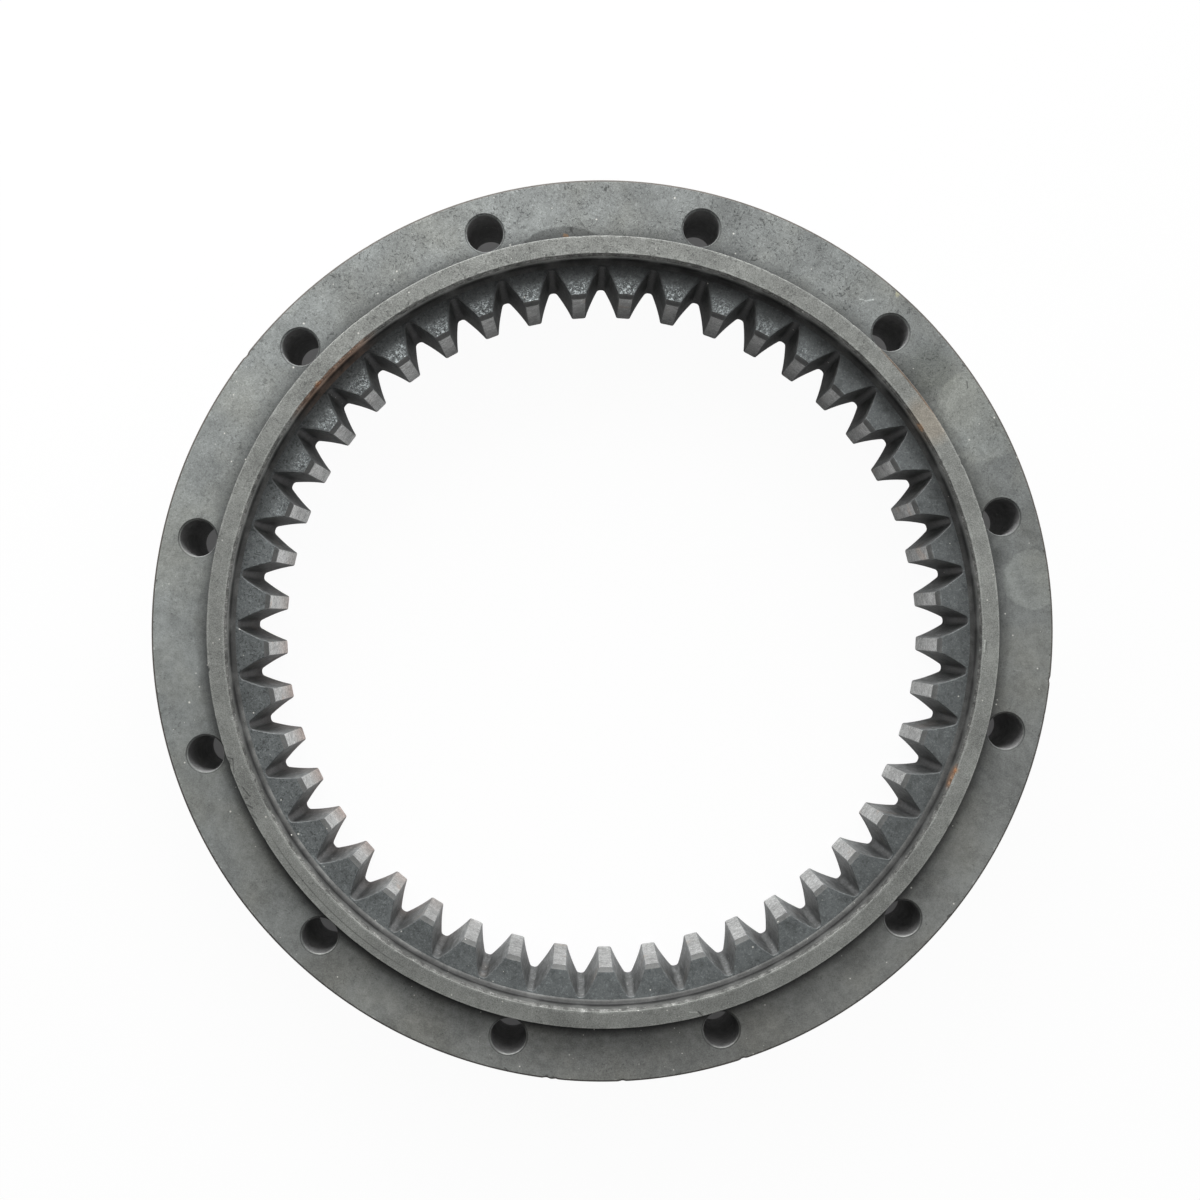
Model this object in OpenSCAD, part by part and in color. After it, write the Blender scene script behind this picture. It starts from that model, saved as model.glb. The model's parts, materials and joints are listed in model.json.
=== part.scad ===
// Internal ring gear of a planetary gearset, made in one piece with its bolt flange and spigot.
// The origin is on the gear axis at the back face, +Z runs along the axis to the spigot,
// and +X passes through the centre of a bolt hole.

/* [Teeth] */
// Number of internal teeth
teeth = 45; // [36:1:60]
// Module: pitch diameter divided by the number of teeth
gear_module = 6; // [4:0.5:10]
// Pressure angle at the pitch circle, in degrees
pressure_angle = 25; // [22:0.5:27]
// Height of the teeth inside the pitch circle, in modules
addendum_factor = 0.75; // [0.5:0.05:0.9]
// Depth of the spaces outside the pitch circle, in modules
dedendum_factor = 1.15; // [0.9:0.01:1.16]
// Radius of the fillets at the foot of the spaces, in modules
root_fillet_factor = 0.27; // [0.1:0.01:0.28]
// Extra width of each space at the pitch circle, which lets the planets run free
backlash = 0.1; // [0:0.05:0.5]
// Rounding along the two edges of each tooth's tip
tip_round = 1; // [0.2:0.1:1.3]
// How far the tip is cut back at the spigot end, along the radius
tip_chamfer = 1.3; // [0.4:0.1:3]
// How deep that cut runs along the axis
tip_chamfer_depth = 3.1; // [0.5:0.1:8]
// Angle from the first bolt hole to the nearest tooth space, in degrees
tooth_phase = -0.25; // [-4:0.25:4]

/* [Flange and spigot] */
// Thickness of the flange
flange_h = 42; // [25:1:70]
// Height of the spigot over the flange face
spigot_h = 7; // [5:0.5:15]
// Wall of the spigot, from the recess inside it to its outer surface
spigot_wall = 7.5; // [4:0.5:15]
// Distance from the spigot's outer surface to the bolt circle
bolt_offset = 9; // [8.5:0.5:16]
// Distance from the bolt circle to the outer edge of the flange
edge_distance = 14; // [10:0.5:22]

/* [Bolt holes] */
// Number of bolt holes
bolt_count = 12; // [4:1:24]
// Diameter of each bolt hole
bolt_hole_d = 14; // [8:0.5:15]

/* [Recess over the teeth] */
// How far the tooth faces lie below the flange face
face_drop = 0.8; // [0.2:0.1:3]
// Flat strip between the foot of the spaces and the step
root_land = 0.7; // [0.3:0.1:3]
// Height and width of the sloping step left by facing the teeth
face_step = 0.4; // [0.2:0.1:1]
// Radius of the fillet in the corner of the recess
corner_fillet = 1.5; // [0.5:0.1:2.5]

/* [Edges] */
// Chamfer on the outer edges of the flange
flange_chamfer = 0.8; // [0.2:0.1:3]
// Chamfer on the outer edge of the spigot
spigot_chamfer = 0.3; // [0.2:0.1:1.5]
// Width of the slope at the mouth of the recess
mouth_chamfer = 0.8; // [0.3:0.1:2]
// Depth of that slope along the axis
mouth_chamfer_depth = 1.5; // [0.3:0.1:2]
// Countersink at both ends of each bolt hole
hole_chamfer = 0.6; // [0.2:0.1:1]
// Chamfer on the tooth tips at the back face
back_chamfer = 0.5; // [0.2:0.1:1.5]

/* [Hidden] */

steel = [0.42, 0.44, 0.45];

// Diameters are kept as radii here
pitch_r = gear_module * teeth / 2;
base_r = pitch_r * cos(pressure_angle);
tip_r = pitch_r - addendum_factor * gear_module;
root_r = pitch_r + dedendum_factor * gear_module;
root_fillet = root_fillet_factor * gear_module;

recess_r = root_r + root_land + face_step + corner_fillet;
spigot_r = recess_r + spigot_wall;
bolt_circle_r = spigot_r + bolt_offset;
outer_r = bolt_circle_r + edge_distance;
bolt_hole_r = bolt_hole_d / 2;

// Heights above the back face
face_z = flange_h - face_drop;
corner_z = face_z + face_step + corner_fillet;
top_z = flange_h + spigot_h;

// How far a cutting shape reaches past the surface that it opens
cut_over = 1;
// How far the tip rounding runs in past the tip circle, so that it meets it at a clear angle
tip_overlap = 0.02;

flank_steps = 6;
fillet_steps = 4;
tip_steps = 4;
corner_steps = 6;
ring_facets = 180;
hole_facets = 48;

function polar(radius, angle) = [radius * cos(angle), radius * sin(angle)];

// Involute function of an angle, in degrees
function involute(angle) = tan(angle) * 180 / PI - angle;

// Half of the angle that a tooth space takes up at the pitch circle
half_space = 90 / teeth + backlash / 2 / pitch_r * 180 / PI;

// Half of that angle at any other radius
function space_angle(radius) =
    half_space + involute(pressure_angle) - involute(acos(base_r / radius));

// A circle that touches a flank has its centre on the flank's own normal, which is a
// tangent of the base circle. reach is the length of that tangent out to the centre.
function reach(centre_r) = sqrt(centre_r * centre_r - base_r * base_r);
function touch_r(tangent) = sqrt(base_r * base_r + tangent * tangent);
function centre_angle(centre_reach, flank_reach) =
    space_angle(touch_r(flank_reach)) - atan(flank_reach / base_r) + atan(centre_reach / base_r);

root_reach = reach(root_r - root_fillet);
root_touch = root_reach + root_fillet;
root_centre_a = centre_angle(root_reach, root_touch);

tip_cut_r = tip_r - tip_overlap;
tip_reach = reach(tip_cut_r + tip_round);
tip_touch = tip_reach - tip_round;
tip_centre_a = centre_angle(tip_reach, tip_touch);

// Direction of the flank's normal, seen from the middle of the space
function normal_angle(centre_reach, centre_a) = centre_a + 90 - atan(centre_reach / base_r);

tip_normal_a = normal_angle(tip_reach, tip_centre_a);
root_normal_a = normal_angle(root_reach, root_centre_a);

// One side of a tooth space, from inside the tip circle out to the middle of the root.
function tip_arc() = [
    for (i = [tip_steps:-1:1])
        polar(tip_cut_r + tip_round, tip_centre_a)
            + polar(tip_round, tip_normal_a + 180 - (tip_normal_a - tip_centre_a) * i / tip_steps)
];
function flank() = [
    for (i = [0:flank_steps])
        let (r = touch_r(tip_touch + (root_touch - tip_touch) * i / flank_steps))
            polar(r, space_angle(r))
];
function root_arc() = [
    for (i = [1:fillet_steps])
        polar(root_r - root_fillet, root_centre_a)
            + polar(root_fillet, root_normal_a + (root_centre_a - root_normal_a) * i / fillet_steps)
];
function space_side() = concat(
    [polar(tip_cut_r - cut_over, tip_centre_a)], tip_arc(), flank(), root_arc());

function flipped(points) = [for (i = [len(points) - 1:-1:0]) [points[i][0], -points[i][1]]];

module tooth_space() {
    side = space_side();
    translate([0, 0, -cut_over])
        linear_extrude(height = top_z + 2 * cut_over)
            polygon(concat(side, flipped(side)));
}

// Half section of the ring, with the teeth still joined into a solid band
module ring_section() {
    corner = [
        for (i = [0:corner_steps])
            [recess_r - corner_fillet, corner_z] + polar(corner_fillet, -90 * i / corner_steps)
    ];
    polygon(concat(
        [
            [tip_r + back_chamfer, 0],
            [outer_r - flange_chamfer, 0],
            [outer_r, flange_chamfer],
            [outer_r, flange_h - flange_chamfer],
            [outer_r - flange_chamfer, flange_h],
            [spigot_r, flange_h],
            [spigot_r, top_z - spigot_chamfer],
            [spigot_r - spigot_chamfer, top_z],
            [recess_r + mouth_chamfer, top_z],
            [recess_r, top_z - mouth_chamfer_depth]
        ],
        corner,
        [
            [root_r + root_land, face_z],
            [tip_r + tip_chamfer, face_z],
            [tip_r, face_z - tip_chamfer_depth],
            [tip_r, back_chamfer]
        ]
    ));
}

module bolt_hole() {
    mouth_r = bolt_hole_r + hole_chamfer + cut_over;
    mouth_h = hole_chamfer + cut_over;
    translate([0, 0, -cut_over])
        cylinder(r = bolt_hole_r, h = flange_h + 2 * cut_over);
    translate([0, 0, -cut_over])
        cylinder(r1 = mouth_r, r2 = bolt_hole_r, h = mouth_h);
    translate([0, 0, flange_h - hole_chamfer])
        cylinder(r1 = bolt_hole_r, r2 = mouth_r, h = mouth_h);
}

module ring_gear() {
    color(steel)
        difference() {
            rotate_extrude($fn = ring_facets) ring_section();
            for (i = [0:teeth - 1])
                rotate([0, 0, tooth_phase + i * 360 / teeth])
                    tooth_space();
            for (i = [0:bolt_count - 1])
                rotate([0, 0, i * 360 / bolt_count])
                    translate([bolt_circle_r, 0, 0])
                        bolt_hole($fn = hole_facets);
        }
}

ring_gear();
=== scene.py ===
"""Looks of the internal ring gear: its worn steel surface, the studio floor, the lights and the camera.

The shape is worked out in millimetres and turned into metres when the mesh is made. Z runs along
the gear axis, and the back face lies on the floor at z = 0.
"""

import json
import math
from collections import namedtuple

import bmesh
import bpy
import numpy as np
from mathutils import Matrix, Vector


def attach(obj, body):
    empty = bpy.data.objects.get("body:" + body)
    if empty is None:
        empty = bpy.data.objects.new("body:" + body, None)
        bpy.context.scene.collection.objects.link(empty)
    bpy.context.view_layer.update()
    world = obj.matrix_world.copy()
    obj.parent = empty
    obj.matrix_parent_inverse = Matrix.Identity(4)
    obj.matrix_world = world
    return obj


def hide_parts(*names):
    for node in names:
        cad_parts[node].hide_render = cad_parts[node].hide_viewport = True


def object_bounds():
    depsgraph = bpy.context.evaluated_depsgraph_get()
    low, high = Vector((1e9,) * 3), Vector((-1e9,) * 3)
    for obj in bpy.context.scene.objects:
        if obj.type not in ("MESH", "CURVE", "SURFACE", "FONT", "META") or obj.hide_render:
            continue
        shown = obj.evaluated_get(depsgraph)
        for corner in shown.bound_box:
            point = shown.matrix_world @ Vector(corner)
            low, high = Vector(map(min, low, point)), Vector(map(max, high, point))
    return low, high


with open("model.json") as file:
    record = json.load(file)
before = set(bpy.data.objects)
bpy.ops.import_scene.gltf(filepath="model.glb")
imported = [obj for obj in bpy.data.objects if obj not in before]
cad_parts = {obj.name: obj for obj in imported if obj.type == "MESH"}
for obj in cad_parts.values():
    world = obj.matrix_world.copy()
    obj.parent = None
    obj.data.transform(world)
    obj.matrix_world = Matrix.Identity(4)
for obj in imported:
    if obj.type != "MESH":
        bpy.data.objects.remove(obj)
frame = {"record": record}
cad_low, cad_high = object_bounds()

MM = 0.001


def mount(name):
    return next(m for m in frame["record"]["mounts"] if m["name"] == name)


# Sizes that the frame gives, in millimetres
OUTER_R = round((cad_high.x - cad_low.x) / 2 / MM, 1)
TOP_Z = round(cad_high.z / MM, 1)
FLANGE_Z = mount("flange_face")["pos_m"][2] / MM
SPIGOT_R = mount("spigot")["dims"]["r_mm"]
BOLTS = mount("bolt_circle")["dims"]
BOLT_COUNT = BOLTS["count"]
BOLT_PITCH = 2 * math.pi / BOLT_COUNT
BOLT_R = BOLTS["pcd_mm"] / 2
HOLE_R = BOLTS["hole_r_mm"]

# Teeth
TEETH = 45
MODULE = 6.0
PRESSURE_ANGLE = math.radians(25)
BACKLASH = 0.1
TIP_ROUND = 1.0
TOOTH_PHASE = math.radians(-0.25)
PITCH = 2 * math.pi / TEETH
PITCH_R = MODULE * TEETH / 2
BASE_R = PITCH_R * math.cos(PRESSURE_ANGLE)
TIP_R = PITCH_R - 0.75 * MODULE
ROOT_R = PITCH_R + 1.15 * MODULE
ROOT_FILLET = 0.27 * MODULE

# Recess over the teeth
FACE_Z = FLANGE_Z - 0.8
FACE_R = ROOT_R + 0.7
STEP = 0.4
CORNER_FILLET = 1.5
CORNER_R = FACE_R + STEP
RECESS_R = CORNER_R + CORNER_FILLET
CORNER_Z = FACE_Z + STEP + CORNER_FILLET
# Half the width of a tooth face at its tip, and how much it widens for each millimetre outward
FACE_HALF_WIDTH = 3.2
FACE_WIDENING = 0.47
MOUTH_WIDTH = 0.8
MOUTH_DEPTH = 1.5
RIM_MIDDLE_R = (RECESS_R + SPIGOT_R) / 2

# Cuts across the tooth tips: how far along the radius, and how deep along the axis
FRONT_CUT = (1.3, 3.1)
BACK_CUT = (0.5, 0.5)

# Edges
FLANGE_CHAMFER = 0.8
SPIGOT_CHAMFER = 0.2
COUNTERSINK = 0.6
EDGE_BREAK = 0.22

# Rounds on the corners of the section, and flat strips beside them that keep the shading flat
MOUTH_LOW_ROUND = 0.25
MOUTH_TOP_ROUND = 0.12
SPIGOT_ROUND = 0.1
FLANGE_ROUND = 0.15
RIM_STRIP = 0.9
FLANGE_STRIP = 1.6
# The fillet at the foot of the spigot: how far it reaches, and how far out its middle lies
FOOT_FILLET = 0.35
FOOT_MIDDLE = 0.1

# Nicks that the photograph shows: radius, angle in degrees, height, width and depth
NICKS = [
    (SPIGOT_R, 198.4, TOP_Z, 1.5, 0.5),
    (SPIGOT_R, 212.3, TOP_Z, 2.2, 0.4),
    (SPIGOT_R, 39.1, TOP_Z, 1.2, 0.35),
    (RECESS_R + MOUTH_WIDTH, 205.7, TOP_Z, 1.4, 0.4),
    (RECESS_R + MOUTH_WIDTH, 280.0, TOP_Z, 1.8, 0.4),
    (OUTER_R, 276.0, FLANGE_Z, 1.8, 0.9),
    (OUTER_R, 277.2, FLANGE_Z, 1.5, 0.8),
    (OUTER_R, 285.8, FLANGE_Z, 1.8, 0.7),
    (OUTER_R, 301.6, FLANGE_Z, 1.8, 0.9),
    (OUTER_R, 7.7, FLANGE_Z, 1.8, 0.7),
    (OUTER_R, 155.4, FLANGE_Z, 2.0, 0.7),
]
# Smaller ones at random: radius and height of the edge that has them, how many, and a seed
SMALL_NICKS = [
    (SPIGOT_R, TOP_Z, 46, 3),
    (RECESS_R + MOUTH_WIDTH, TOP_Z, 60, 4),
    (RECESS_R, TOP_Z - MOUTH_DEPTH, 50, 5),
    (OUTER_R, FLANGE_Z, 60, 6),
    (OUTER_R, 0.0, 60, 7),
]
# Their least and greatest angle, width and depth
SMALL_NICK_RANGE = ((0, 0.7, 0.05), (2 * math.pi, 1.3, 0.22))
# The uneven mouth of the recess: a seed, how many knots its waves have, and how wide they are
MOUTH_WAVES = (11, 260, 0.12)
# How far past the slope at the mouth they reach
MOUTH_REACH = 0.3

# Fineness of the mesh
CIRCLE_STEPS = 1440
HOLE_STEPS = 64
FILLET_STEPS = 6
FLANK_STEPS = 8
CUT_STEPS = 2
TIP_STEPS = 4
LAND_STEPS = 3
CORNER_STEPS = 5

# Zones of the surface, each with its own material
ZONE_COUNT = 12
FLANGE, RIM, MOUTH, RECESS, FACE, FLANK, TIP_CUT, LAND, HOLE, SIDE, BACK, WORN = range(ZONE_COUNT)

# A point of the tooth outline, and the radius that a tip cut gives to one of its columns
Column = namedtuple("Column", "radius angle normal")
Crease = namedtuple("Crease", "column radius")

# How far the row frame is turned against the photograph
TURN = math.radians(13.452)


def polar(radius, angle):
    return np.array([radius * math.cos(angle), radius * math.sin(angle)])


def from_photo(right, up, height):
    """A point in the row frame, from how far it lies right and up in the photograph, in metres."""
    return Matrix.Rotation(TURN, 3, "Z") @ Vector((right, up, height))


def point_at(radius, angle, height):
    """A point in metres, from its radius, angle in degrees and height."""
    return Vector((*polar(radius, math.radians(angle)), height)) * MM


def add_object(name, data):
    made = bpy.data.objects.new(name, data)
    bpy.context.scene.collection.objects.link(made)
    return made


def smooth_noise(angles, seed, knots, height):
    """Noise that closes round the circle: knots random heights, with soft curves between them."""
    heights = np.random.default_rng(seed).uniform(-height, height, knots)
    place = np.asarray(angles) / (2 * math.pi) * knots
    before = np.floor(place).astype(int)
    share = place - before
    share = share * share * (3 - 2 * share)
    return heights[before % knots] * (1 - share) + heights[(before + 1) % knots] * share


def half_space(radius):
    """Half of the angle that a tooth space takes up at a radius: the flanks are involutes."""

    def involute(angle):
        return math.tan(angle) - angle

    at_pitch = math.pi / 2 / TEETH + BACKLASH / 2 / PITCH_R
    return at_pitch + involute(PRESSURE_ANGLE) - involute(math.acos(BASE_R / radius))


def tangent(radius):
    """Length of the tangent from the base circle out to a radius. It is also a flank's normal."""
    return math.sqrt(radius**2 - BASE_R**2)


def flank_column(length):
    radius = math.hypot(BASE_R, length)
    angle = half_space(radius)
    return Column(radius, angle, angle + math.pi / 2 - math.atan(length / BASE_R))


def touching_centre(centre_r, length):
    """Angle of a circle's centre at centre_r that touches the flank where its tangent has that length."""
    touch = flank_column(length)
    return touch.angle - math.atan(length / BASE_R) + math.atan(tangent(centre_r) / BASE_R)


def arc_columns(centre_r, centre_a, radius, normals):
    """Columns on a round of the outline. A negative radius has its centre in the metal."""
    made = []
    for normal in normals:
        x, y = polar(centre_r, centre_a) + polar(radius, normal)
        made.append(Column(math.hypot(x, y), math.atan2(y, x), normal))
    return made


def half_outline():
    """Columns from the middle of a space to the middle of the next tooth, and where the cuts begin."""
    root_centre_r = ROOT_R - ROOT_FILLET
    root_touch = tangent(root_centre_r) + ROOT_FILLET
    root_centre_a = touching_centre(root_centre_r, root_touch)
    root_normals = np.linspace(root_centre_a, flank_column(root_touch).normal, FILLET_STEPS + 1)
    columns = [Column(ROOT_R, 0.0, 0.0)]
    columns += arc_columns(root_centre_r, root_centre_a, ROOT_FILLET, root_normals)

    tip_centre_r = TIP_R + TIP_ROUND
    tip_touch = tangent(tip_centre_r) - TIP_ROUND
    tip_centre_a = touching_centre(tip_centre_r, tip_touch)
    cut_touch = tangent(TIP_R + FRONT_CUT[0] - EDGE_BREAK / 2)
    columns += [flank_column(t) for t in np.linspace(root_touch, cut_touch, FLANK_STEPS + 1)[1:]]
    front_cut = len(columns) - 1
    columns += [flank_column(t) for t in np.linspace(cut_touch, tip_touch, CUT_STEPS + 1)[1:]]
    back_cut = len(columns) - 1
    tip_normals = np.linspace(flank_column(tip_touch).normal, tip_centre_a, TIP_STEPS + 1)[1:]
    columns += arc_columns(tip_centre_r, tip_centre_a, -TIP_ROUND, tip_normals)
    land = len(columns) - 1
    columns += [Column(TIP_R, a, a) for a in np.linspace(tip_centre_a, PITCH / 2, LAND_STEPS + 1)[1:]]
    return columns, front_cut, back_cut, land


HALF, FRONT_CREASE, BACK_CREASE, LAND_START = half_outline()
WHOLE = HALF + [Column(c.radius, PITCH - c.angle, PITCH - c.normal) for c in HALF[-2:0:-1]]


def cut_height(cut, radius):
    """How far below its face the cut across a tooth tip lies at a radius."""
    width, depth = cut
    return max(0.0, TIP_R + width - radius) * depth / width


class Surface:
    """Points and faces of one closed surface, each face with its zone."""

    def __init__(self):
        self.points = []
        self.faces = []
        self.zones = []

    def point(self, x, y, z):
        self.points.append((x, y, z))
        return len(self.points) - 1

    def circle(self, radius, z, steps=CIRCLE_STEPS, centre=(0.0, 0.0), start=0.0):
        """A closed loop of points, in the sense of rising angle."""
        x, y = centre
        angles = start + np.arange(steps) * 2 * math.pi / steps
        return [self.point(x + radius * math.cos(a), y + radius * math.sin(a), z) for a in angles]

    def face(self, loop, zone):
        self.faces.append(tuple(loop))
        self.zones.append(zone)

    def band(self, loop, other, zone):
        """Quads between two closed loops of the same length, with one zone or a list of them."""
        zones = zone if isinstance(zone, list) else [zone] * len(loop)
        for i in range(len(loop)):
            j = (i + 1) % len(loop)
            self.face((loop[i], loop[j], other[j], other[i]), zones[i])

    def bands(self, loops, zones):
        for loop, other, zone in zip(loops, loops[1:], zones):
            self.band(loop, other, zone)

    def widen(self, loop, seed, knots, amount):
        """Moves a loop's points outward by up to amount, in soft waves."""
        angles = np.arange(len(loop)) * 2 * math.pi / len(loop)
        moves = (smooth_noise(angles, seed, knots, 0.5) + 0.5) * amount
        for index, move in zip(loop, moves):
            x, y, z = self.points[index]
            scale = 1 + move / math.hypot(x, y)
            self.points[index] = (x * scale, y * scale, z)

    def dent(self, radius, angle, height, width, depth, inside):
        """Presses the points near a place on an edge toward inside, a radius and height in the metal."""
        place = np.array([*polar(radius, angle), height])
        push = np.array([*polar(inside[0], angle), inside[1]]) - place
        push *= depth / np.linalg.norm(push)
        points = np.array(self.points)
        away = np.linalg.norm(points - place, axis=1)
        for index in np.nonzero(away < width)[0]:
            share = (1 - (away[index] / width) ** 2) ** 2
            self.points[index] = tuple(points[index] + push * share)


def outline_loop(surface, grow, crease, height):
    """A loop round all the teeth. It lies grow inside the metal, at the height that a radius has."""
    loop = []
    for tooth in range(TEETH):
        turn = TOOTH_PHASE + tooth * PITCH
        for i, column in enumerate(WHOLE):
            x, y = polar(column.radius, column.angle + turn) + polar(grow, column.normal + turn)
            radius = math.hypot(x, y)
            on_crease = grow > 0 and (i == crease.column or i == len(WHOLE) - crease.column)
            scale = crease.radius / radius if on_crease else 1.0
            loop.append(surface.point(x * scale, y * scale, height(radius * scale)))
    return loop


def arc(start, stop, steps):
    """Indices of a circle's points from start to stop, both included, in the sense of rising angle."""
    count = (stop - start) % steps or steps
    return [(start + i) % steps for i in range(count + 1)]


def tooth_end(surface, edge, face_circle, cut, crease, face_z, sense):
    """Flat faces and tip cuts of all the teeth at one end. sense is 1 at the front and -1 at the back."""
    count = len(WHOLE)
    per_pitch = CIRCLE_STEPS // TEETH
    gap_offset = round(TOOTH_PHASE / (2 * math.pi) * CIRCLE_STEPS)
    across = 2 * LAND_STEPS
    for tooth in range(TEETH):
        loop = [edge[(tooth * count + i) % len(edge)] for i in range(count + 1)]
        rows = []
        for i in range(crease.column, LAND_START):
            left, right = surface.points[loop[i]], surface.points[loop[count - i]]
            radius = math.hypot(left[0], left[1])
            first, last = math.atan2(left[1], left[0]), math.atan2(right[1], right[0])
            span = (last - first) % (2 * math.pi)
            z = face_z - sense * cut_height(cut, radius)
            inner = [surface.point(*polar(radius, first + span * k / across), z) for k in range(1, across)]
            rows.append([loop[i], *inner, loop[count - i]])
        rows.append(loop[LAND_START : count - LAND_START + 1])
        for row, other in zip(rows, rows[1:]):
            for k in range(across):
                surface.face((row[k], row[k + 1], other[k + 1], other[k]), TIP_CUT)
        start = gap_offset + tooth * per_pitch
        back_round = [face_circle[i % CIRCLE_STEPS] for i in arc(start, start + per_pitch, CIRCLE_STEPS)]
        outline = loop[: crease.column] + rows[0] + loop[count - crease.column + 1 :]
        surface.face(outline + back_round[::-1], FACE if sense > 0 else BACK)


def bolt_holes(surface):
    """Walls of the bolt holes. Returns each hole's loop of points at the front and at the back."""
    front, back = [], []
    rings = [(HOLE_R + COUNTERSINK + 0.1, 0.0), (HOLE_R + COUNTERSINK - 0.05, 0.07)]
    rings += [(HOLE_R + 0.06, COUNTERSINK), (HOLE_R, COUNTERSINK + 0.12), (HOLE_R, 8.0)]
    for hole in range(BOLT_COUNT):
        turn = hole * BOLT_PITCH
        centre = polar(BOLT_R, turn)
        sizes = [(r, FLANGE_Z - d) for r, d in rings] + [(r, d) for r, d in rings[::-1]]
        loops = [surface.circle(r, z, HOLE_STEPS, centre, turn) for r, z in sizes]
        surface.bands(loops, [FLANGE, FLANGE, HOLE, HOLE, HOLE, HOLE, HOLE, BACK, BACK])
        front.append(loops[0])
        back.append(loops[-1])
    return front, back


def holed_face(surface, inner, outer, holes, zone):
    """A flat ring with the bolt holes in it, as one face from each hole to the next."""
    half = HOLE_STEPS // 2
    per_hole = CIRCLE_STEPS // BOLT_COUNT
    for hole in range(BOLT_COUNT):
        following = (hole + 1) % BOLT_COUNT
        span = [i % CIRCLE_STEPS for i in range(hole * per_hole, (hole + 1) * per_hole + 1)]
        near_side = [holes[hole][i] for i in range(0, half + 1)]
        far_side = [holes[following][i % HOLE_STEPS] for i in range(half, HOLE_STEPS + 1)]
        loop = [outer[i] for i in span] + far_side[::-1] + [inner[i] for i in span[::-1]] + near_side[::-1]
        surface.face(loop, zone)


def rounded(corner, before, after, size):
    """Three points that round a corner of the section."""
    corner, before, after = (np.array(p, float) for p in (corner, before, after))
    to_before = (before - corner) / np.linalg.norm(before - corner) * size
    to_after = (after - corner) / np.linalg.norm(after - corner) * size
    middle = corner + (to_before + to_after) / 4
    return [tuple(corner + to_before), tuple(middle), tuple(corner + to_after)]


def section():
    """Half section from the tooth faces up over the rim, out over the flange and down to the back.

    Returns (radius, z) points, and the zone of the band that follows each point. A None there
    leaves the flat face with the bolt holes open.
    """
    fillet = [
        (CORNER_R + CORNER_FILLET * math.sin(a), CORNER_Z - CORNER_FILLET * math.cos(a))
        for a in np.linspace(0, math.pi / 2, CORNER_STEPS + 1)
    ]
    mouth_low = (RECESS_R, TOP_Z - MOUTH_DEPTH)
    mouth_top = (RECESS_R + MOUTH_WIDTH, TOP_Z)
    rim_middle = (RIM_MIDDLE_R, TOP_Z)
    spigot_top = (SPIGOT_R - SPIGOT_CHAMFER, TOP_Z)
    spigot_low = (SPIGOT_R, TOP_Z - SPIGOT_CHAMFER)
    foot_middle = (SPIGOT_R + FOOT_MIDDLE, FLANGE_Z + FOOT_MIDDLE)
    edge_top = (OUTER_R - FLANGE_CHAMFER, FLANGE_Z)
    edge_low = (OUTER_R, FLANGE_Z - FLANGE_CHAMFER)
    base_top = (OUTER_R, FLANGE_CHAMFER)
    base_low = (OUTER_R - FLANGE_CHAMFER, 0.0)
    strip_top = (edge_top[0] - FLANGE_STRIP, FLANGE_Z)
    strip_low = (edge_top[0] - FLANGE_STRIP, 0.0)

    wall = [(FACE_R, FACE_Z), *fillet, (RECESS_R, (CORNER_Z + mouth_low[1]) / 2)]
    rim = [(mouth_top[0] + RIM_STRIP, TOP_Z), rim_middle, (spigot_top[0] - RIM_STRIP, TOP_Z)]
    foot = [(SPIGOT_R, FLANGE_Z + FOOT_FILLET), foot_middle, (SPIGOT_R + FOOT_FILLET, FLANGE_Z)]
    runs = [
        (wall, [RECESS] * len(wall)),
        (rounded(mouth_low, fillet[-1], mouth_top, MOUTH_LOW_ROUND), [MOUTH] * 3),
        (rounded(mouth_top, mouth_low, rim_middle, MOUTH_TOP_ROUND) + rim, [RIM] * 6),
        (rounded(spigot_top, rim_middle, spigot_low, SPIGOT_ROUND), [RIM, RIM, WORN]),
        (rounded(spigot_low, spigot_top, (SPIGOT_R, FLANGE_Z), SPIGOT_ROUND), [SIDE] * 3),
        (foot + [strip_top], [SIDE, SIDE, None, FLANGE]),
        (rounded(edge_top, strip_top, edge_low, FLANGE_ROUND), [FLANGE, SIDE, SIDE]),
        (rounded(edge_low, edge_top, base_top, FLANGE_ROUND), [SIDE] * 3),
        ([(OUTER_R, FLANGE_Z * share) for share in (0.95, 0.6, 0.3)], [SIDE] * 3),
        (rounded(base_top, edge_low, base_low, FLANGE_ROUND), [SIDE] * 3),
        (rounded(base_low, base_top, strip_low, FLANGE_ROUND), [SIDE, BACK, BACK]),
        ([strip_low], []),
    ]
    return [point for points, _ in runs for point in points], [zone for _, zones in runs for zone in zones]


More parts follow.
